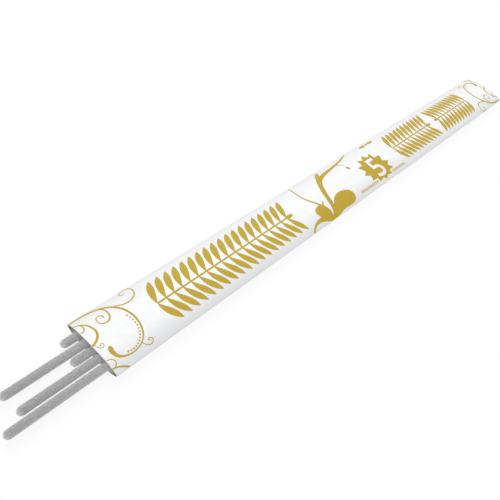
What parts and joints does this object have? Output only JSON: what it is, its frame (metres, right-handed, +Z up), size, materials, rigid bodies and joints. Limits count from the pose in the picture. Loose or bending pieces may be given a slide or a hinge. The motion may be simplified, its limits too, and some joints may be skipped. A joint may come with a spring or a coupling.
{
  "type": "packet of sparklers",
  "caption": "Flat folded card sleeve, open at both ends, holding a row of round-tipped coated wire sparklers that slide out lengthwise.",
  "frame": {"origin": "middle of the flat back face of the sleeve, which the packet lies on", "axes": "+X along the packet from the open mouth to the far end, +Y across it, +Z up out of the printed front"},
  "size_m": [0.4533, 0.0334, 0.0066],
  "materials": {
    "card": "satin",
    "glue": "matte",
    "wire": "satin",
    "composition": "matte"
  },
  "bodies": {
    "sleeve": {"sleeve": "card", "seam_glue": "glue"},
    "sparkler_1": {"sparkler_1_wire": "wire", "sparkler_1_coating": "composition"},
    "sparkler_2": {"sparkler_2_wire": "wire", "sparkler_2_coating": "composition"},
    "sparkler_3": {"sparkler_3_wire": "wire", "sparkler_3_coating": "composition"},
    "sparkler_4": {"sparkler_4_wire": "wire", "sparkler_4_coating": "composition"},
    "sparkler_5": {"sparkler_5_wire": "wire", "sparkler_5_coating": "composition"}
  },
  "joints": [
    {"name": "sparkler_1_slide", "type": "slide", "parent": "sleeve", "child": "sparkler_1", "axis": [-1, 0, 0], "range_m": [-0.0085, 0.3965]},
    {"name": "sparkler_2_slide", "type": "slide", "parent": "sleeve", "child": "sparkler_2", "axis": [-1, 0, 0], "range_m": [-0.0406, 0.3644]},
    {"name": "sparkler_3_slide", "type": "slide", "parent": "sleeve", "child": "sparkler_3", "axis": [-1, 0, 0], "range_m": [-0.0107, 0.3943]},
    {"name": "sparkler_4_slide", "type": "slide", "parent": "sleeve", "child": "sparkler_4", "axis": [-1, 0, 0], "range_m": [-0.0393, 0.3657]},
    {"name": "sparkler_5_slide", "type": "slide", "parent": "sleeve", "child": "sparkler_5", "axis": [-1, 0, 0], "range_m": [-0.0483, 0.3567]}
  ]
}
